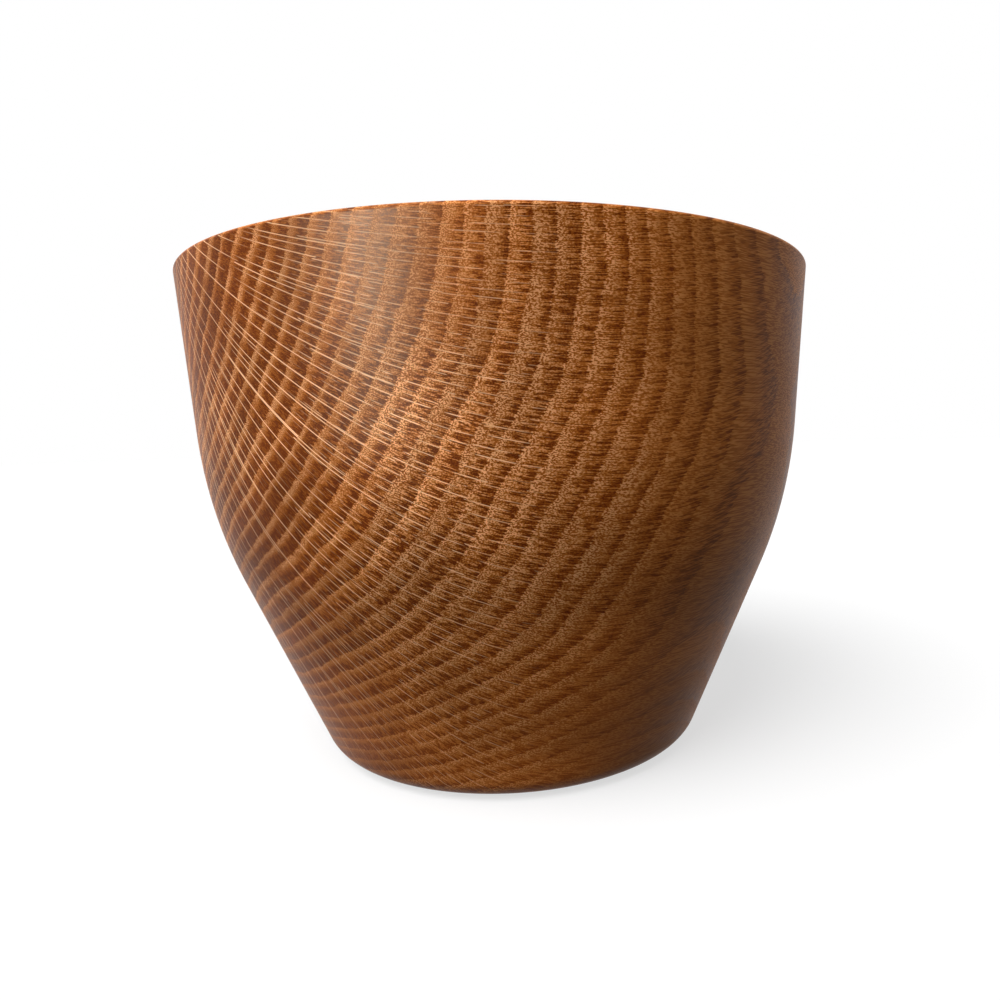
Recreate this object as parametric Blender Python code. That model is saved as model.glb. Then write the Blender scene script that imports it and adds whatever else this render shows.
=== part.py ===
"""Deep serving bowl, turned on a lathe from one solid blank of oak.

The bowl stands on the plane z = 0 with its turning axis on +Z. All sizes are in metres. The outside is two
straight walls, a near-upright one above a cone, blended by a long arc. The hollow follows them at an even
wall. The rim is eased, the heel is rounded, and under the foot is the shallow recess that the lathe's chuck
held.
"""

import math

import bpy

# Overall sizes, measured where the straight faces would meet before their edges are rounded
RIM_DIAMETER = 0.136
HEIGHT = 0.1036
SHOULDER_DIAMETER = 0.130
SHOULDER_HEIGHT = 0.0554
FOOT_DIAMETER = 0.0845

# Thicknesses
WALL = 0.008
FLOOR = 0.012

# Roundings
RIM_OUTER_ROUND = 0.0015
RIM_INNER_ROUND = 0.002
SHOULDER_ROUND = 0.096
HEEL_ROUND = 0.007
FLOOR_ROUND = 0.026

# Chuck recess under the foot, which leaves a flat ring to stand on
RECESS_DIAMETER = 0.056
RECESS_DEPTH = 0.003
RECESS_FLOOR_ROUND = 0.0015
RECESS_EDGE_ROUND = 0.0008

# Fineness of the turned surface
TURNING_STEPS = 96
CHORD_ERROR = 0.00008
MERGE_DISTANCE = 0.00001

# Oiled oak
OAK_COLOUR = (0.36, 0.17, 0.06, 1.0)
OAK_ROUGHNESS = 0.42


def clear_scene():
    for old in list(bpy.data.objects):
        bpy.data.objects.remove(old)


def oak_material():
    oak = bpy.data.materials.new("oiled_oak")
    oak.use_nodes = True
    shader = oak.node_tree.nodes["Principled BSDF"]
    shader.inputs["Base Color"].default_value = OAK_COLOUR
    shader.inputs["Roughness"].default_value = OAK_ROUGHNESS
    shader.inputs["Metallic"].default_value = 0.0
    return oak


def outer_corners():
    """Sharp corners of the outside, from the rim down to the foot, as (radius, height, rounding)."""
    return [
        (RIM_DIAMETER / 2, HEIGHT, RIM_OUTER_ROUND),
        (SHOULDER_DIAMETER / 2, SHOULDER_HEIGHT, SHOULDER_ROUND),
        (FOOT_DIAMETER / 2, 0.0, HEEL_ROUND),
    ]


def recess_corners():
    """Sharp corners of the chuck recess, from the foot's standing ring in to the turning axis."""
    return [
        (RECESS_DIAMETER / 2, 0.0, RECESS_EDGE_ROUND),
        (RECESS_DIAMETER / 2, RECESS_DEPTH, RECESS_FLOOR_ROUND),
        (0.0, RECESS_DEPTH, 0.0),
    ]


def hollow_corners():
    """Sharp corners of the hollow, from its floor on the axis up to the rim.

    Each inner wall is parallel to the outer one and WALL away from it, measured square to the wall. At a
    given height, a wall that leans out by `slope` per unit of height is therefore shifted inwards by
    WALL * sqrt(1 + slope squared).
    """
    rim, shoulder, foot = outer_corners()
    upper_slope = (rim[0] - shoulder[0]) / (rim[1] - shoulder[1])
    lower_slope = (shoulder[0] - foot[0]) / (shoulder[1] - foot[1])
    upper_shift = WALL * math.hypot(1.0, upper_slope)
    lower_shift = WALL * math.hypot(1.0, lower_slope)

    def upper_wall(height):
        return shoulder[0] + upper_slope * (height - shoulder[1]) - upper_shift

    def lower_wall(height):
        return shoulder[0] + lower_slope * (height - shoulder[1]) - lower_shift

    bend = shoulder[1] + (lower_shift - upper_shift) / (lower_slope - upper_slope)
    return [
        (0.0, FLOOR, 0.0),
        (lower_wall(FLOOR), FLOOR, FLOOR_ROUND),
        (upper_wall(bend), bend, max(SHOULDER_ROUND - WALL, 0.0)),
        (upper_wall(HEIGHT), HEIGHT, RIM_INNER_ROUND),
    ]


def unit(a, b):
    """Direction from point a to point b in the plane of the outline."""
    across, along = b[0] - a[0], b[1] - a[1]
    length = math.hypot(across, along)
    return across / length, along / length


def fitted_setbacks(corners):
    """How far each rounding starts from its corner, cut down where two roundings would overlap on one face.

    Returns (setback, half of the angle between the two faces) for each inner corner.
    """
    half_angles = []
    setbacks = []
    for before, corner, after in zip(corners, corners[1:], corners[2:]):
        back, ahead = unit(corner, before), unit(corner, after)
        cosine = back[0] * ahead[0] + back[1] * ahead[1]
        half_angles.append(math.acos(max(-1.0, min(1.0, cosine))) / 2)
        setbacks.append(corner[2] / math.tan(half_angles[-1]))
    wanted = [0.0, *setbacks, 0.0]
    lengths = [math.dist(a[:2], b[:2]) for a, b in zip(corners, corners[1:])]
    shares = [run / max(run, a + b) for run, a, b in zip(lengths, wanted, wanted[1:])]
    fitted = [length * min(a, b) for length, a, b in zip(setbacks, shares, shares[1:])]
    return list(zip(fitted, half_angles))


def rounding_arc(before, corner, after, setback, half_angle):
    """Points of the arc that rounds one corner, as close together as CHORD_ERROR asks."""
    back, ahead = unit(corner, before), unit(corner, after)
    radius = setback * math.tan(half_angle)
    if radius < CHORD_ERROR:
        return [corner[:2]]
    middle = unit((0.0, 0.0), (back[0] + ahead[0], back[1] + ahead[1]))
    reach = radius / math.sin(half_angle)
    centre = corner[0] + middle[0] * reach, corner[1] + middle[1] * reach
    start = corner[0] + back[0] * setback - centre[0], corner[1] + back[1] * setback - centre[1]
    turned_left = back[0] * ahead[1] - back[1] * ahead[0] < 0.0
    sweep = (math.pi - 2 * half_angle) * (1 if turned_left else -1)
    finest_step = 2 * math.acos(1 - CHORD_ERROR / radius)
    steps = max(2, math.ceil(abs(sweep) / finest_step))
    arc = []
    for step in range(steps + 1):
        angle = sweep * step / steps
        across = start[0] * math.cos(angle) - start[1] * math.sin(angle)
        along = start[0] * math.sin(angle) + start[1] * math.cos(angle)
        arc.append((centre[0] + across, centre[1] + along))
    return arc


def rounded_outline(corners):
    """The outline through the corners with each one rounded, as (radius, height) points."""
    outline = [corners[0][:2]]
    fits = fitted_setbacks(corners)
    for before, corner, after, fit in zip(corners, corners[1:], corners[2:], fits):
        outline += rounding_arc(before, corner, after, *fit)
    return outline + [corners[-1][:2]]


def turned(name, outline, material):
    """A solid of revolution about +Z.

    The outline runs from the hollow's floor on the axis, over the rim, down the outside and back to the
    axis.
    """
    mesh = bpy.data.meshes.new(name)
    points = [(radius, 0.0, height) for radius, height in outline]
    edges = [(i, i + 1) for i in range(len(points) - 1)]
    mesh.from_pydata(points, edges, [])
    mesh.materials.append(material)
    solid = bpy.data.objects.new(name, mesh)
    bpy.context.scene.collection.objects.link(solid)
    lathe = solid.modifiers.new("lathe", "SCREW")
    lathe.axis = "Z"
    lathe.angle = 2 * math.pi
    lathe.steps = TURNING_STEPS
    lathe.render_steps = TURNING_STEPS
    lathe.use_merge_vertices = True
    lathe.merge_threshold = MERGE_DISTANCE
    lathe.use_smooth_shade = True
    return solid


def main():
    clear_scene()
    outline = rounded_outline(hollow_corners() + outer_corners() + recess_corners())
    turned("bowl_body", outline, oak_material())


main()
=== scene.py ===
import math

import bpy
import numpy as np
from mathutils import Matrix, Vector


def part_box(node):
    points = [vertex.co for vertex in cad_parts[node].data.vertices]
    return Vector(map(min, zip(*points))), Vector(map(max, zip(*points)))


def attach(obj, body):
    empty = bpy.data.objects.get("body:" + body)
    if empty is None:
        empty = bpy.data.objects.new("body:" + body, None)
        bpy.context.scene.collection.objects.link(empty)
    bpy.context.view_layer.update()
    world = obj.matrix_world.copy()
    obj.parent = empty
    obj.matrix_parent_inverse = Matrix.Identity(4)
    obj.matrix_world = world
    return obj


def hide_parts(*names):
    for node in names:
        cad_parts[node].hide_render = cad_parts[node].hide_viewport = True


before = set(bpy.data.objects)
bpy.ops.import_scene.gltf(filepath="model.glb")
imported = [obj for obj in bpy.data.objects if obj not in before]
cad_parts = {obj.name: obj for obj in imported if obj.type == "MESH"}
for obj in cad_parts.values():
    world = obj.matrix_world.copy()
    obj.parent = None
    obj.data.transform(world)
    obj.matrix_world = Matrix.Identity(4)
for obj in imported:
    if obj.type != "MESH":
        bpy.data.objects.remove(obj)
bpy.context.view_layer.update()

# Sizes of the turned outline in metres: corners of the straight faces, then their roundings. They are those
# of the part, apart from the rim's outer rounding, which is finer here.
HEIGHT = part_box("bowl_body")[1].z
RIM_RADIUS = 0.068
SHOULDER_RADIUS = 0.065
SHOULDER_HEIGHT = 0.0554
FOOT_RADIUS = 0.04225
WALL = 0.008
FLOOR = 0.012
RIM_OUTER_ROUND = 0.0008
RIM_INNER_ROUND = 0.002
SHOULDER_ROUND = 0.096
HEEL_ROUND = 0.007
FLOOR_ROUND = 0.026
RECESS_RADIUS = 0.028
RECESS_DEPTH = 0.003
RECESS_FLOOR_ROUND = 0.0015
RECESS_EDGE_ROUND = 0.0008
# Fineness of the surface
TURNING_STEPS = 288
STRAIGHT_STEP = 0.0015
ARC_STEP = math.radians(6)
FEWEST_ARC_STEPS = 4

# The wood's figure, in millimetres. Each direction is given as (azimuth, tilt) of the axis in degrees.
MILLIMETRES = 1000.0
UP = Vector((0.0, 0.0, 1.0))
FIBRES = (-140.0, 0.0)

# Growth rings: the pith line, how far the rings depart from circles, and how close together they are
RING_AXIS = (-125.0, 17.0)
PITH_ACROSS, PITH_RISE = -156.0, 185.0
RING_LEAN_ACROSS, RING_LEAN_RISE = -0.23, -0.14
RING_OVAL_SQUARE, RING_OVAL_DIAGONAL = 0.05, 0.346
RING_START = 98.0
RINGS_PER_MM = 0.459
RINGS_TIGHTEN = 3.0e-5
RING_WAVE_SIZE, RING_WAVE_LENGTH, RING_WAVE_TURN, RING_WAVE_SHIFT = 0.11, 45.0, 70.0, -0.01
RING_SHIFT = -0.07
# How far each kind of unevenness moves a ring, as a share of one ring
WANDER, RAGGED, STREAKED, STRANDED = 0.5, 0.1, 0.12, 0.2

# Rays: the line that they fan out from, and how evenly and sharply they are drawn
RAY_AXIS = (-155.4, -6.7)
RAY_ACROSS, RAY_RISE = -6.5, 127.2
RAY_SCATTER = 0.55
RAY_EDGE = (0.3, 0.7)
RAY_END = (0.2, 0.55)
RAY_FAINTEST = 0.5
# Layers of rays, each as (number per radian, length, height, width)
SPARSE_RAYS = (16.0, 70.0, 24.0, 0.15)
LONG_RAYS = (30.0, 45.0, 20.0, 0.14)
SHORT_RAYS = (60.0, 5.0, 9.0, 0.14)
SHORT_RAY_STRENGTH = 0.75

# Unevenness drawn out along the fibres, as (size across, size along, detail), and along the rays, as (number
# per radian, length, height)
WANDER_SIZE = (9.0, 90.0, 2.0)
RAGGED_SIZE = (0.9, 14.0, 2.0)
PATCH_SIZE = (3.5, 30.0, 1.0)
TONE_SIZE = (22.0, 120.0, 2.0)
PORE_SIZE = (0.20, 7.0, 1.0)
END_PORE_SIZE = (0.11, 7.0, 1.0)
STREAK_SIZE = (90.0, 6.0, 6.0)
NEAR_STRAND_SIZE = (320.0, 0.9, 4.0)
FAR_STRAND_SIZE = (500.0, 1.2, 4.0)

# Ranges over which an effect comes in, by how squarely the surface cuts the fibres: 0 along them, 1 across
FACE_CUT = (0.05, 0.75)
END_CUT = (0.80, 0.97)
EARLYWOOD_CUT = (0.55, 0.88)
HATCH_CUT = (0.65, 0.92)
# The painted sheen near the rim comes in over this range of the cut
PAINTED_SHEEN_CUT = (0.5, 0.75)
RAY_CUT = (0.42, 0.75)
SPARSE_RAY_CUT = (0.7, 0.95)
LONG_RAY_CUT = (0.76, 0.96)
# The same by the distance from the rays' line, and by the height in the bowl
LONG_RAY_REACH = (36.0, 56.0)
SHORT_RAY_REACH = (34.0, 64.0)
STRAND_CHANGE, STRAND_CHANGE_BLUR = (66.0, 70.0), 30.0
# Heights over which the painted sheen near the rim comes in
PAINTED_SHEEN_HEIGHTS = (72.0, 94.0)
FOOT_HEIGHTS = (0.0, 60.0)

# Earlywood: its share of a ring on the bowl's face and end grain, and how its fading differs on the face
EARLYWOOD_FACE, EARLYWOOD_END = 0.38, 0.27
EARLYWOOD_LEAST, EARLYWOOD_LUCK = 0.7, 0.6
FADE_START, FADE_START_FACE = 0.35, -0.25
FADE_END, FADE_END_FACE = 1.9, 0.7
RING_EDGE = (0.0, 0.05)
EARLYWOOD_PATCHES, EARLYWOOD_PATCH_LEAST = (0.3, 0.6), 0.55

# Pores and hatched latewood: where their noise is cut, and what moves that cut
PORE_EDGE = (0.45, 0.55)
HATCH_START, HATCH_END, HATCH_SHIFT = 0.36, 0.50, 0.10
HATCH_PATCH, HATCH_ON_END = 0.5, 0.5
DEEP_SHORTER_ON_END = 0.4

# Lightness of the wood on a scale from 0 to 1, and what raises and lowers it
LEVEL, LEVEL_FACE, LEVEL_END = 0.51, -0.17, -0.02
EARLY_LIGHT = 0.14
LATE_DARK, LATE_DARK_DEEP, LATE_DARK_END = 0.04, 0.14, 0.14
PORE_DEPTH, PORE_IN_LATE, PORE_IN_EARLY = 0.66, 0.55, 0.45
HATCH_DEPTH, HATCH_DEPTH_END, HATCH_MIDDLE = 0.60, -0.30, 0.6
# What lowers the contrast of the figure, and the strength of the rays. Near the rim this is painted sheen: the
# figure is washed out where the gloss would lie over it.
CONTRAST_LOST_FACE, CONTRAST_LOST_PAINTED_SHEEN, CONTRAST_AT_FOOT = 0.53, 0.4, 0.55
PAINTED_SHEEN_LOST_END = 0.8
RAY_SHOWN, RAY_STRENGTH, RAY_AT_FOOT = (0.1, 0.6), 0.95, 0.4
RAY_LOST_EARLY, RAY_LOST_PAINTED_SHEEN, SHORT_RAY_LOST_END = 0.3, 0.6, 0.7
# Slow changes of tone, and those from ring to ring
TONE_EDGE, TONE_DARK, TONE_LIGHT = (0.3, 0.7), 0.88, 1.12
RING_TONE_DARK, RING_TONE_RANGE = 0.9, 0.2

# Colours, as linear red, green and blue. The wood's go from dark to light, on end grain and on the face. The
# face's are yellower and greyer: partly the face grain's own colour, partly painted reflection of the grey
# gloss on the side where the face grain shows.
END_COLOURS = ((0.10, 0.016, 0.0004), (0.26, 0.062, 0.0055), (0.45, 0.147, 0.029), (0.90, 0.45, 0.20))
FACE_COLOURS_WITH_PAINTED_REFLECTION = ((0.10, 0.023, 0.0015), (0.26, 0.081, 0.014), (0.45, 0.178, 0.050), (0.90, 0.48, 0.23))
RAY_COLOUR = (0.93, 0.57, 0.31)
WHITE = (1.0, 1.0, 1.0)

# The oil's gloss
ROUGHNESS, ROUGHNESS_EARLY, ROUGHNESS_RAY = 0.36, 0.06, -0.04
BUMP_STRENGTH, BUMP_DISTANCE = 0.1, 0.0001
SPECULAR_LEVEL = 0.035
SHEEN_TINT = (1.0, 0.92, 0.70)

# Camera: where it stands, where it looks and its lens, for a frame of 1000 by 1000 pixels
FRAME_PIXELS = 1000
FOCAL_PIXELS = 736.6
LENS_CENTRE_X, LENS_CENTRE_Y = 566.44, 508.59
CAMERA_PLACE = (0.0, -0.17746, 0.07036)
CAMERA_YAW, CAMERA_PITCH, CAMERA_ROLL = 0.0792, -0.1052, -0.0261
SENSOR_MM = 36.0
NEAREST_SEEN = 0.01

# Light and floor. Each lamp is (azimuth from the front towards the right, elevation, spread, strength).
WINDOW_LIGHT = (-42.0, 55.0, 45.0, 5.2)
SHEEN_LIGHT = (-42.0, 12.0, 20.0, 22.0)
AMBIENT = 0.25
FLOOR_DIM = (0.06, 0.06, 0.06)
FLOOR_PALE = (0.25, 0.25, 0.25)
FLOOR_GLOW = 0.65
FLOOR_STEPS = 96
FLOOR_REACH = 3.0
FLOOR_DROP = 0.0002


# The turned surface


def unit(vector):
    return vector / np.linalg.norm(vector)


def rounded(corners):
    """Outline through the corners, each given as (radius, height, rounding).

    Each corner is replaced by the arc that touches both of its faces: the arc's centre lies on the corner's
    bisector, rounding / sin(half angle) away. Straight stretches are cut into even steps.
    """
    places = np.array([corner[:2] for corner in corners])
    roundings = [corner[2] for corner in corners[1:]]
    stretches = [places[:1]]
    for before, corner, after, rounding in zip(places, places[1:], places[2:], roundings):
        back, ahead = unit(before - corner), unit(after - corner)
        half_angle = math.acos(back @ ahead) / 2
        setback = rounding / math.tan(half_angle)
        centre = corner + unit(back + ahead) * rounding / math.sin(half_angle)
        start, end = corner + back * setback - centre, corner + ahead * setback - centre
        sweep = math.pi - 2 * half_angle
        by_angle, by_length = math.ceil(sweep / ARC_STEP), math.ceil(sweep * rounding / STRAIGHT_STEP)
        steps = max(FEWEST_ARC_STEPS, by_angle, by_length)
        share = np.linspace(0.0, 1.0, steps + 1)[:, None]
        arc = centre + (np.sin((1 - share) * sweep) * start + np.sin(share * sweep) * end) / math.sin(sweep)
        stretches += [straight(stretches[-1][-1], arc[0]), arc]
    return np.concatenate(stretches + [straight(stretches[-1][-1], places[-1]), places[-1:]])


def straight(start, end):
    """Even steps strictly between two points of the outline."""
    steps = max(1, math.ceil(np.linalg.norm(end - start) / STRAIGHT_STEP))
    share = np.linspace(0.0, 1.0, steps + 1)[1:-1, None]
    return start + share * (end - start)


def bowl_outline():
    """(radius, height) points from the hollow's floor, over the rim, down the outside to the recess's middle.

    The inner walls run parallel to the outer ones, WALL away, so at one height a wall that leans out by
    `slope` is shifted in by WALL * sqrt(1 + slope squared).
    """
    upper_slope = (RIM_RADIUS - SHOULDER_RADIUS) / (HEIGHT - SHOULDER_HEIGHT)
    lower_slope = (SHOULDER_RADIUS - FOOT_RADIUS) / SHOULDER_HEIGHT
    upper_shift = WALL * math.hypot(1.0, upper_slope)
    lower_shift = WALL * math.hypot(1.0, lower_slope)
    bend = (lower_shift - upper_shift) / (lower_slope - upper_slope)
    inner_foot = SHOULDER_RADIUS + lower_slope * (FLOOR - SHOULDER_HEIGHT) - lower_shift
    return rounded([
        (0.0, FLOOR, 0.0),
        (inner_foot, FLOOR, FLOOR_ROUND),
        (SHOULDER_RADIUS + upper_slope * bend - upper_shift, SHOULDER_HEIGHT + bend, SHOULDER_ROUND - WALL),
        (RIM_RADIUS - upper_shift, HEIGHT, RIM_INNER_ROUND),
        (RIM_RADIUS, HEIGHT, RIM_OUTER_ROUND),
        (SHOULDER_RADIUS, SHOULDER_HEIGHT, SHOULDER_ROUND),
        (FOOT_RADIUS, 0.0, HEEL_ROUND),
        (RECESS_RADIUS, 0.0, RECESS_EDGE_ROUND),
        (RECESS_RADIUS, RECESS_DEPTH, RECESS_FLOOR_ROUND),
        (0.0, RECESS_DEPTH, 0.0),
    ])


def turned_mesh(name, outline, steps):
    """Closed surface of revolution: point (i, j) is (r_i sin a_j, -r_i cos a_j, z_i), a_j being the turn.

    The outline's two ends lie on the axis, so each is one point, joined to its neighbours by a fan of
    triangles.
    """
    around = np.arange(steps)
    after = (around + 1) % steps
    angle = around * 2 * math.pi / steps
    radius, height = outline[1:-1, 0], outline[1:-1, 1]
    grid = np.stack([
        np.outer(radius, np.sin(angle)),
        np.outer(radius, -np.cos(angle)),
        np.outer(height, np.ones(steps)),
    ], axis=-1)
    ends = np.array([(0.0, 0.0, outline[0, 1]), (0.0, 0.0, outline[-1, 1])])
    points = np.concatenate([grid.reshape(-1, 3), ends])
    first, last = len(points) - 2, len(points) - 1
    rows, here = np.meshgrid(np.arange(len(radius) - 1), around, indexing="ij")
    beside = (here + 1) % steps
    quads = np.stack([rows, rows, rows + 1, rows + 1], -1) * steps
    quads = quads + np.stack([here, beside, beside, here], -1)
    last_row = (len(radius) - 1) * steps
    floor_fan = np.stack([np.full(steps, first), after, around], -1)
    recess_fan = np.stack([np.full(steps, last), around + last_row, after + last_row], -1)
    faces = quads.reshape(-1, 4).tolist() + floor_fan.tolist() + recess_fan.tolist()
    mesh = bpy.data.meshes.new(name)
    mesh.from_pydata(points.tolist(), [], faces)
    mesh.shade_smooth()
    mesh.update()
    return mesh


# Node graphs written as arithmetic


def with_alpha(colour):
    return (*colour, 1.0)


class Term:
    """A value that a node graph works out at each point. Arithmetic on terms adds Math nodes."""

    def __init__(self, graph, socket):
        self.graph = graph
        self.socket = socket

    def __add__(self, other):
        return self.graph.math("ADD", self, other)

    def __sub__(self, other):
        return self.graph.math("SUBTRACT", self, other)

    def __rsub__(self, other):
        return self.graph.math("SUBTRACT", other, self)

    def __mul__(self, other):
        return self.graph.math("MULTIPLY", self, other)

    def __truediv__(self, other):
        return self.graph.math("DIVIDE", self, other)

    __radd__ = __add__
    __rmul__ = __mul__


class Graph:
    """One node tree and the calls that add nodes to it. An input is a term, a number or a tuple."""

    def __init__(self, tree):
        self.tree = tree

    def node(self, kind, settings, inputs):
        """Adds a node. Settings are its properties, and inputs are given by the socket's identifier."""
        node = self.tree.nodes.new(kind)
        for name, value in settings.items():
            setattr(node, name, value)
        sockets = {socket.identifier: socket for socket in node.inputs}
        for name, value in inputs.items():
            self.feed(sockets[name], value)
        return node

    def feed(self, socket, value):
        if isinstance(value, Term):
            self.tree.links.new(value.socket, socket)
        else:
            socket.default_value = value

    def math(self, operation, *values):
        node = self.tree.nodes.new("ShaderNodeMath")
        node.operation = operation
        for socket, value in zip(node.inputs, values):
            self.feed(socket, value)
        return Term(self, node.outputs[0])

    def most(self, first, *others):
        for other in others:
            first = self.math("MAXIMUM", first, other)
        return first

    def along(self, place, direction):
        """How far a place lies along a unit direction: their dot product."""
        settings = {"operation": "DOT_PRODUCT"}
        node = self.node("ShaderNodeVectorMath", settings, {"Vector": place, "Vector_001": direction})
        return Term(self, node.outputs["Value"])

    def vector(self, x, y, z):
        return Term(self, self.node("ShaderNodeCombineXYZ", {}, {"X": x, "Y": y, "Z": z}).outputs[0])

    def split(self, vector):
        node = self.node("ShaderNodeSeparateXYZ", {}, {"Vector": vector})
        return [Term(self, output) for output in node.outputs]

    def scaled(self, vector, factor):
        node = self.node("ShaderNodeVectorMath", {"operation": "SCALE"}, {"Vector": vector, "Scale": factor})
        return Term(self, node.outputs["Vector"])

    def smooth(self, value, start, end, low=0.0, high=1.0):
        """Goes smoothly from low to high as the value goes from start to end."""
        node = self.node("ShaderNodeMapRange", {"interpolation_type": "SMOOTHSTEP"}, {
            "Value": value, "From Min": start, "From Max": end, "To Min": low, "To Max": high,
        })
        return Term(self, node.outputs["Result"])

    def noise(self, place, detail):
        inputs = {"Vector": place, "Scale": 1.0, "Detail": detail, "Roughness": 0.5}
        return Term(self, self.node("ShaderNodeTexNoise", {}, inputs).outputs[0])

    def scattered(self, place, scatter):
        """The nearest of the points scattered one to each unit cube: its place and a random value."""
        inputs = {"Vector": place, "Scale": 1.0, "Randomness": scatter}
        node = self.node("ShaderNodeTexVoronoi", {}, inputs)
        tint = self.split(Term(self, node.outputs["Color"]))
        return Term(self, node.outputs["Position"]), tint[0]

    def chance(self, number):
        """A random value from 0 to 1 that is fixed for each number."""
        node = self.node("ShaderNodeTexWhiteNoise", {"noise_dimensions": "1D"}, {"W": number})
        return Term(self, node.outputs["Value"])

    def shades(self, value, colours):
        """Goes evenly through the colours as the value goes from 0 to 1."""
        node = self.node("ShaderNodeValToRGB", {}, {"Fac": value})
        stops = node.color_ramp.elements
        while len(stops) < len(colours):
            stops.new(1.0)
        for place, colour in enumerate(colours):
            stops[place].position = place / (len(colours) - 1)
            stops[place].color = with_alpha(colour)
        return Term(self, node.outputs["Color"])

    def mix(self, share, first, second):
        node = self.node("ShaderNodeMix", {"data_type": "RGBA"}, {
            "Factor_Float": share, "A_Color": first, "B_Color": second,
        })
        return Term(self, next(o for o in node.outputs if o.identifier == "Result_Color"))

    def group(self, tree, inputs):
        """Places a node group and gives its outputs by name."""
        node = self.tree.nodes.new("ShaderNodeGroup")
        node.node_tree = tree
        for name, value in inputs.items():
            self.feed(node.inputs[name], value)
        return {output.name: Term(self, output) for output in node.outputs}


def new_group(name, inputs, outputs):
    """An empty node group: its graph, its inputs as terms by name, and the node that takes its outputs."""
    tree = bpy.data.node_groups.new(name, "ShaderNodeTree")
    for label, kind in inputs.items():
        tree.interface.new_socket(name=label, in_out="INPUT", socket_type="NodeSocket" + kind)
    for label in outputs:
        tree.interface.new_socket(name=label, in_out="OUTPUT", socket_type="NodeSocketFloat")
    graph = Graph(tree)
    entry = tree.nodes.new("NodeGroupInput")
    leave = tree.nodes.new("NodeGroupOutput")
    return graph, {o.name: Term(graph, o) for o in entry.outputs if o.name}, leave


def axes(direction):
    """Unit directions across, up from and along an axis that is given by its azimuth and tilt in degrees."""
    azimuth, tilt = (math.radians(angle) for angle in direction)
    along = Vector((math.cos(tilt) * math.cos(azimuth), math.cos(tilt) * math.sin(azimuth), math.sin(tilt)))
    across = Vector((-math.sin(azimuth), math.cos(azimuth), 0.0))
    return across, along.cross(across), along


# The wood's figure


def fibre_grain():
    """Group: noise drawn out along the fibres, with its size across them and along them in millimetres."""
    inputs = {"Place": "Vector", "Across": "Float", "Along": "Float", "Detail": "Float"}
    graph, given, leave = new_group("fibre_grain", inputs, ["Value"])
    across, rise, along = (graph.along(given["Place"], direction) for direction in axes(FIBRES))
    stretched = graph.vector(across / given["Across"], rise / given["Across"], along / given["Along"])
    graph.feed(leave.inputs["Value"], graph.noise(stretched, given["Detail"]))
    return graph.tree


def fibre_noise(graph, grain, place, size):
    """The fibre grain at a place, for a size given as (across, along, detail)."""
    inputs = {"Place": place} | dict(zip(("Across", "Along", "Detail"), size))
    return graph.group(grain, inputs)["Value"]


def growth_rings(grain):
    """Group: the count of growth rings from the pith, whole at the start of each ring.

    With (x, y) measured from the pith line across the trunk and r its length, a ring is where
    s = r + lean . (x, y) + (square (x x - y y) + 2 diagonal x y) / r is constant. The count grows with s at
    RINGS_PER_MM, and faster away from RING_START. A slow wave and two noises make the rings wander.
    """
    graph, given, leave = new_group("growth_rings", {"Place": "Vector"}, ["Count"])
    place = given["Place"]
    across_way, rise_way, _ = axes(RING_AXIS)
    across, rise = graph.along(place, across_way), graph.along(place, rise_way)
    x, y = across - PITH_ACROSS, rise - PITH_RISE
    reach = graph.math("SQRT", x * x + y * y)
    lean = RING_LEAN_ACROSS * x + RING_LEAN_RISE * y
    oval = (RING_OVAL_SQUARE * (x * x - y * y) + 2 * RING_OVAL_DIAGONAL * (x * y)) / reach
    past = reach + lean + oval - RING_START
    turn = math.radians(RING_WAVE_TURN)
    run = (across * math.cos(turn) + rise * math.sin(turn)) * (1 / RING_WAVE_LENGTH) + RING_WAVE_SHIFT
    wave = graph.math("SINE", run * (2 * math.pi)) * RING_WAVE_SIZE
    wander = fibre_noise(graph, grain, place, WANDER_SIZE) - 0.5
    ragged = fibre_noise(graph, grain, place, RAGGED_SIZE) - 0.5
    count = RINGS_PER_MM * past + RINGS_TIGHTEN * (past * past * past) + wave + RING_SHIFT
    graph.feed(leave.inputs["Count"], count + WANDER * wander + RAGGED * ragged)
    return graph.tree


def ray_fan():
    """Group: a place's angle round the line that the rays fan out from, how far off it is and how far along."""
    graph, given, leave = new_group("ray_fan", {"Place": "Vector"}, ["Angle", "Reach", "Along"])
    across, rise, along = (graph.along(given["Place"], direction) for direction in axes(RAY_AXIS))
    x, y = across - RAY_ACROSS, rise - RAY_RISE
    graph.feed(leave.inputs["Angle"], graph.math("ARCTAN2", y, x))
    graph.feed(leave.inputs["Reach"], graph.math("SQRT", x * x + y * y))
    graph.feed(leave.inputs["Along"], along)
    return graph.tree


def ray_lines():
    """Group: a layer of rays, thin sheets that run out from the fan's line and fade at their ends.

    One ray starts from each scattered point of a grid in angle, reach and place along the fibres.
    """
    names = ("Angle", "Reach", "Along", "Per radian", "Length", "Height", "Width")
    graph, given, leave = new_group("ray_lines", {name: "Float" for name in names}, ["Line"])
    per_radian, reach, width = given["Per radian"], given["Reach"], given["Width"]
    grid = graph.vector(
        given["Angle"] * per_radian, reach / given["Length"], given["Along"] / given["Height"]
    )
    nearest, luck = graph.scattered(grid, RAY_SCATTER)
    centre = graph.split(nearest)
    here = graph.split(grid)
    aside = graph.math("ABSOLUTE", here[0] - centre[0]) / per_radian * reach
    beyond = graph.math("ABSOLUTE", here[1] - centre[1])
    line = graph.smooth(aside, width * RAY_EDGE[0], width * RAY_EDGE[1], 1.0, 0.0)
    fade = graph.smooth(beyond, *RAY_END, 1.0, 0.0)
    graph.feed(leave.inputs["Line"], line * fade * (RAY_FAINTEST + (1.0 - RAY_FAINTEST) * luck))
    return graph.tree


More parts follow.
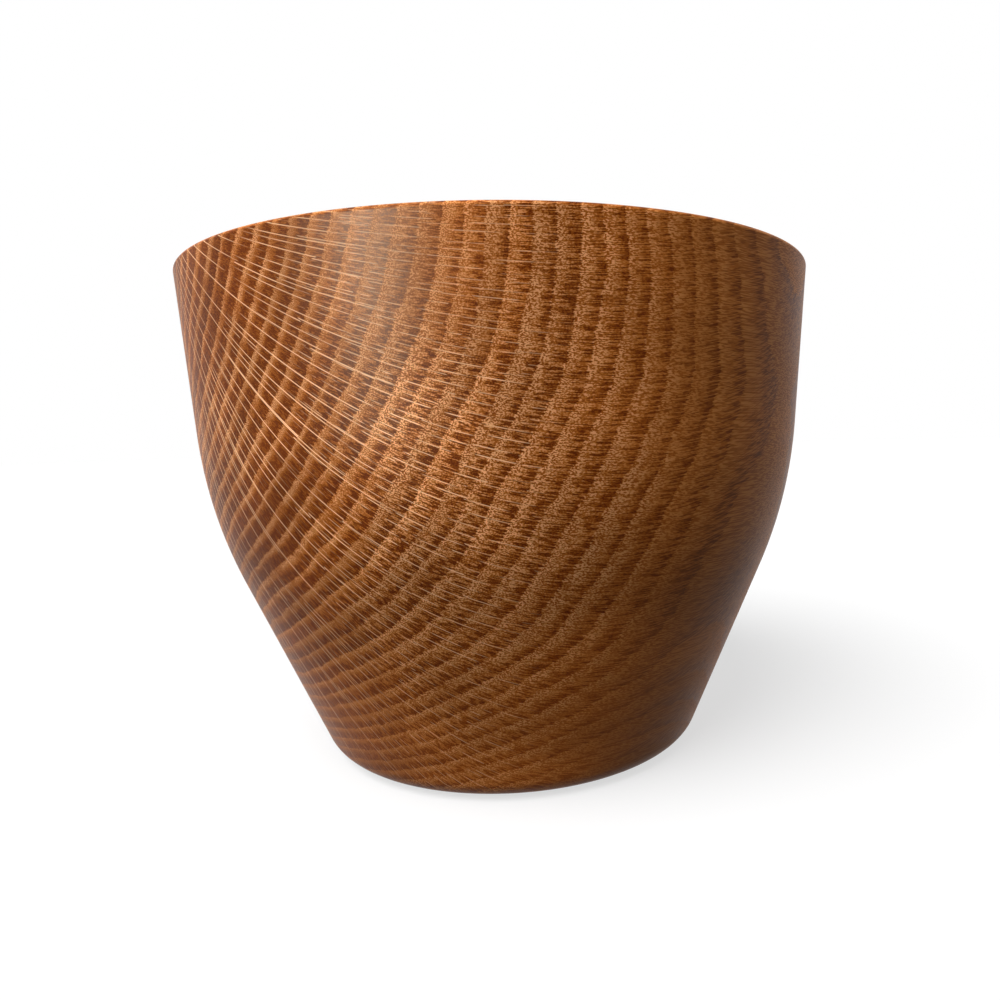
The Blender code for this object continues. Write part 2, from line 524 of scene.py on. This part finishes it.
class OakFigure:
    """The figure at each point of the bowl, as terms of the oak's graph.

    `face` is 1 where the surface runs along the fibres and 0 where it crosses them, and `flat_face` falls off
    faster. `end` is 1 on true end grain, and `painted_sheen` is 1 near the rim: painted sheen, which washes out
    the figure there. `early` and `late` share out each ring, `deep` grows through its latewood, and `ray`,
    `pore` and
    `hatch` are masks.
    """

    def __init__(self, graph):
        self.graph = graph
        self.grain = fibre_grain()
        self.layer = ray_lines()
        texture = graph.node("ShaderNodeTexCoord", {}, {}).outputs
        self.place = graph.scaled(Term(graph, texture["Object"]), MILLIMETRES)
        self.height = graph.along(self.place, UP)
        self.fan = graph.group(ray_fan(), {"Place": self.place})
        self.cut = graph.math("ABSOLUTE", graph.along(Term(graph, texture["Normal"]), axes(FIBRES)[2]))
        self.face = graph.smooth(self.cut, *FACE_CUT, 1.0, 0.0)
        self.flat_face = self.face * self.face * self.face
        self.end = graph.smooth(self.cut, *END_CUT)
        # Painted sheen: near the rim, on the slant but not on true end grain, the figure is washed out as if by
        # the gloss
        near_rim = graph.smooth(self.height, *PAINTED_SHEEN_HEIGHTS) * graph.smooth(self.cut, *PAINTED_SHEEN_CUT)
        self.painted_sheen = near_rim * (1.0 - PAINTED_SHEEN_LOST_END * self.end)
        self.patch = fibre_noise(graph, self.grain, self.place, PATCH_SIZE)
        self.lay_strands()
        self.lay_rings()
        self.lay_rays()
        self.lay_pores()
        self.lay_hatching()

    def drawn_out(self, size):
        """Noise drawn out along the rays, for a size given as (number per radian, length, height)."""
        per_radian, length, height = size
        fan = self.fan
        lines = self.graph.vector(fan["Angle"] * per_radian, fan["Reach"] / length, fan["Along"] / height)
        return self.graph.noise(lines, 0.0)

    def rays(self, size):
        """A layer of rays, for a size given as (number per radian, length, height, width)."""
        inputs = {name: self.fan[name] for name in ("Angle", "Reach", "Along")}
        inputs |= dict(zip(("Per radian", "Length", "Height", "Width"), size))
        return self.graph.group(self.layer, inputs)["Line"]

    def lay_strands(self):
        """Strands fan out with the rays, so far from the rays' line there are more of them to the radian."""
        blurred_reach = self.fan["Reach"] + STRAND_CHANGE_BLUR * (self.patch - 0.5)
        far = self.graph.smooth(blurred_reach, *STRAND_CHANGE)
        self.strands = self.drawn_out(NEAR_STRAND_SIZE) * (1.0 - far) + self.drawn_out(FAR_STRAND_SIZE) * far

    def lay_rings(self):
        """Each ring starts with pale earlywood, which fades into latewood that darkens to the ring's end."""
        graph, face = self.graph, self.face
        rings = graph.group(growth_rings(self.grain), {"Place": self.place})
        streaks = STREAKED * (self.drawn_out(STREAK_SIZE) - 0.5)
        count = rings["Count"] + streaks + STRANDED * (self.strands - 0.5)
        phase = graph.math("FRACT", count)
        self.ring = graph.math("FLOOR", count)
        luck = EARLYWOOD_LEAST + EARLYWOOD_LUCK * graph.chance(self.ring)
        early_end = graph.smooth(self.cut, *EARLYWOOD_CUT, EARLYWOOD_FACE, EARLYWOOD_END) * luck
        fade_start = early_end * (FADE_START + FADE_START_FACE * face)
        fade_end = early_end * (FADE_END + FADE_END_FACE * face)
        early = graph.smooth(phase, fade_start, fade_end, 1.0, 0.0) * graph.smooth(phase, *RING_EDGE)
        self.early = early * graph.smooth(self.patch, *EARLYWOOD_PATCHES, EARLYWOOD_PATCH_LEAST, 1.0)
        self.late = 1.0 - self.early
        self.deep = graph.smooth(phase, early_end, 1.0 - DEEP_SHORTER_ON_END * self.end)

    def lay_rays(self):
        """Long rays show where the fibres are cut across, and short ones on the slant between."""
        graph, cut, reach = self.graph, self.cut, self.fan["Reach"]
        sparse = self.rays(SPARSE_RAYS) * graph.smooth(cut, *SPARSE_RAY_CUT)
        long = self.rays(LONG_RAYS) * graph.smooth(reach, *LONG_RAY_REACH) * graph.smooth(cut, *LONG_RAY_CUT)
        short = self.rays(SHORT_RAYS) * graph.smooth(reach, *SHORT_RAY_REACH)
        short = short * (1.0 - SHORT_RAY_LOST_END * self.end)
        ray = graph.most(sparse, long, short * SHORT_RAY_STRENGTH)
        self.ray = ray * graph.smooth(cut, *RAY_CUT) * (1.0 - RAY_LOST_EARLY * self.early)

    def lay_pores(self):
        """Open vessels along the fibres, finer where they are cut across."""
        graph = self.graph
        pore = graph.smooth(fibre_noise(graph, self.grain, self.place, PORE_SIZE), *PORE_EDGE)
        end_pore = graph.smooth(fibre_noise(graph, self.grain, self.place, END_PORE_SIZE), *PORE_EDGE)
        self.pore = pore * (1.0 - self.end) + end_pore * self.end

    def lay_hatching(self):
        """Strands stand out as short strokes, fewer where the latewood is deep or cut across."""
        on_end = self.graph.smooth(self.cut, *HATCH_CUT, 0.0, HATCH_ON_END)
        low = HATCH_SHIFT * (self.deep + HATCH_PATCH * (0.5 - self.patch) + on_end)
        self.hatch = self.graph.smooth(self.strands, HATCH_START + low, HATCH_END + low)

    def lightness(self):
        """Lightness of the wood between its rays, from 0 to 1."""
        graph, face, end = self.graph, self.face, self.end
        late_dark = LATE_DARK + LATE_DARK_DEEP * self.deep + LATE_DARK_END * end
        light = EARLY_LIGHT * self.early - late_dark * self.late
        light = light + PORE_DEPTH * (self.pore - 0.5) * (PORE_IN_LATE + PORE_IN_EARLY * self.early)
        light = light + (HATCH_DEPTH + HATCH_DEPTH_END * end) * (self.hatch - HATCH_MIDDLE) * self.late
        contrast = 1.0 - CONTRAST_LOST_FACE * face
        contrast = contrast * graph.smooth(self.height, *FOOT_HEIGHTS, CONTRAST_AT_FOOT, 1.0)
        # Painted sheen: near the rim the figure's contrast is lowered, as if the gloss lay over it
        contrast = contrast * (1.0 - CONTRAST_LOST_PAINTED_SHEEN * self.painted_sheen)
        return LEVEL + LEVEL_FACE * self.flat_face + LEVEL_END * end + contrast * light

    def colour(self):
        """The wood's colour, with the rays laid over it and slow changes of tone."""
        graph, lightness = self.graph, self.lightness()
        end_wood, face_wood_with_reflection = graph.shades(lightness, END_COLOURS), graph.shades(lightness, FACE_COLOURS_WITH_PAINTED_REFLECTION)
        # Where the face grain shows, its yellower, greyer colours are partly painted reflection
        wood = graph.mix(self.flat_face, end_wood, face_wood_with_reflection)
        shown = graph.smooth(self.ray, *RAY_SHOWN, 0.0, RAY_STRENGTH)
        shown = shown * graph.smooth(self.height, *FOOT_HEIGHTS, RAY_AT_FOOT, 1.0)
        # Painted sheen: near the rim the rays are fainter, as if the gloss lay over them
        shown = shown * (1.0 - RAY_LOST_PAINTED_SHEEN * self.painted_sheen)
        wood = graph.mix(shown, wood, with_alpha(RAY_COLOUR))
        tone = fibre_noise(graph, self.grain, self.place, TONE_SIZE)
        ring_tone = RING_TONE_DARK + RING_TONE_RANGE * graph.chance(self.ring + 0.5)
        return graph.scaled(wood, graph.smooth(tone, *TONE_EDGE, TONE_DARK, TONE_LIGHT) * ring_tone)


def oiled_oak():
    """Oak under satin oil: its figure in the colour, and the pores and strands as a faint relief."""
    material = bpy.data.materials.new("oiled_oak")
    material.use_nodes = True
    graph = Graph(material.node_tree)
    shader = material.node_tree.nodes["Principled BSDF"]
    oak = OakFigure(graph)
    graph.feed(shader.inputs["Base Color"], oak.colour())
    graph.feed(shader.inputs["Roughness"], ROUGHNESS + ROUGHNESS_EARLY * oak.early + ROUGHNESS_RAY * oak.ray)
    bump = graph.node("ShaderNodeBump", {}, {
        "Strength": BUMP_STRENGTH, "Distance": BUMP_DISTANCE, "Height": oak.pore + oak.hatch,
    })
    graph.feed(shader.inputs["Normal"], Term(graph, bump.outputs["Normal"]))
    shader.inputs["Specular IOR Level"].default_value = SPECULAR_LEVEL
    shader.inputs["Specular Tint"].default_value = with_alpha(SHEEN_TINT)
    return material


def add_bowl():
    mesh = turned_mesh("oak_bowl", bowl_outline(), TURNING_STEPS)
    mesh.materials.append(oiled_oak())
    bowl = bpy.data.objects.new("oak_bowl", mesh)
    bpy.context.scene.collection.objects.link(bowl)
    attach(bowl, "root")
    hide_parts("bowl_body")


# Stage, light and camera


def background_seen(graph):
    """1 for the rays that show the background itself: from the camera, and by reflection or through glass."""
    path = graph.node("ShaderNodeLightPath", {}, {})
    kinds = ("Is Camera Ray", "Is Glossy Ray", "Is Transmission Ray")
    return graph.most(*(Term(graph, path.outputs[kind]) for kind in kinds))


def floor_material():
    """Pale floor that the camera sees as white and that keeps the bowl's shadow."""
    material = bpy.data.materials.new("pale_floor")
    material.use_nodes = True
    graph = Graph(material.node_tree)
    nodes = material.node_tree.nodes
    nodes.remove(nodes["Principled BSDF"])
    seen = background_seen(graph)
    colour = graph.mix(seen, with_alpha(FLOOR_DIM), with_alpha(FLOOR_PALE))
    paint = graph.node("ShaderNodeBsdfDiffuse", {}, {"Color": colour})
    glow = graph.node("ShaderNodeEmission", {}, {"Color": with_alpha(WHITE), "Strength": seen * FLOOR_GLOW})
    both = graph.node("ShaderNodeAddShader", {}, {
        "Shader": Term(graph, paint.outputs[0]), "Shader_001": Term(graph, glow.outputs[0]),
    })
    material.node_tree.links.new(both.outputs[0], nodes["Material Output"].inputs["Surface"])
    return material


def add_floor():
    """Flat disc, so wide that its edge lies beyond the view: point j of its rim is r (cos a_j, sin a_j)."""
    angle = np.arange(FLOOR_STEPS) * 2 * math.pi / FLOOR_STEPS
    depth = np.full(FLOOR_STEPS, -FLOOR_DROP)
    rim = np.stack([FLOOR_REACH * np.cos(angle), FLOOR_REACH * np.sin(angle), depth], -1)
    mesh = bpy.data.meshes.new("floor")
    mesh.from_pydata(rim.tolist(), [], [list(range(FLOOR_STEPS))])
    mesh.materials.append(floor_material())
    floor = bpy.data.objects.new("floor", mesh)
    bpy.context.scene.collection.objects.link(floor)


def add_world():
    """White to the eye, and a weak even light on the bowl."""
    world = bpy.data.worlds.new("studio")
    world.use_nodes = True
    bpy.context.scene.world = world
    graph = Graph(world.node_tree)
    background = world.node_tree.nodes["Background"]
    background.inputs["Color"].default_value = with_alpha(WHITE)
    graph.feed(background.inputs["Strength"], AMBIENT + (1.0 - AMBIENT) * background_seen(graph))


def add_sun(name, azimuth, elevation, spread, strength):
    """Light from one side of the bowl. Azimuth is from the front towards the right. Angles are in degrees."""
    lamp = bpy.data.lights.new(name, "SUN")
    lamp.angle = math.radians(spread)
    lamp.energy = strength
    turn, rise = math.radians(azimuth), math.radians(elevation)
    source = Vector((math.sin(turn) * math.cos(rise), -math.cos(turn) * math.cos(rise), math.sin(rise)))
    holder = bpy.data.objects.new(name, lamp)
    holder.location = source
    holder.rotation_euler = source.to_track_quat("Z", "Y").to_euler()
    bpy.context.scene.collection.objects.link(holder)
    return holder


def add_camera():
    """Camera turned by yaw, pitch and roll, with its lens centre shifted to its place in the frame."""
    forward = Vector((
        math.sin(CAMERA_YAW) * math.cos(CAMERA_PITCH),
        math.cos(CAMERA_YAW) * math.cos(CAMERA_PITCH),
        math.sin(CAMERA_PITCH),
    ))
    level = Vector((math.cos(CAMERA_YAW), -math.sin(CAMERA_YAW), 0.0))
    upright = level.cross(forward)
    right = level * math.cos(CAMERA_ROLL) + upright * math.sin(CAMERA_ROLL)
    up = upright * math.cos(CAMERA_ROLL) - level * math.sin(CAMERA_ROLL)
    lens = bpy.data.cameras.new("camera")
    lens.sensor_width = SENSOR_MM
    lens.lens = SENSOR_MM * FOCAL_PIXELS / FRAME_PIXELS
    lens.shift_x = 0.5 - LENS_CENTRE_X / FRAME_PIXELS
    lens.shift_y = LENS_CENTRE_Y / FRAME_PIXELS - 0.5
    lens.clip_start = NEAREST_SEEN
    camera = bpy.data.objects.new("camera", lens)
    camera.matrix_world = Matrix((right, up, -forward)).transposed().to_4x4()
    camera.location = CAMERA_PLACE
    bpy.context.scene.collection.objects.link(camera)
    bpy.context.scene.camera = camera


add_bowl()
add_floor()
add_world()
add_sun("window", *WINDOW_LIGHT)
# The sheen's lamp is seen in the gloss alone
add_sun("sheen", *SHEEN_LIGHT).visible_diffuse = False
add_camera()
bpy.context.scene.view_settings.view_transform = "Standard"
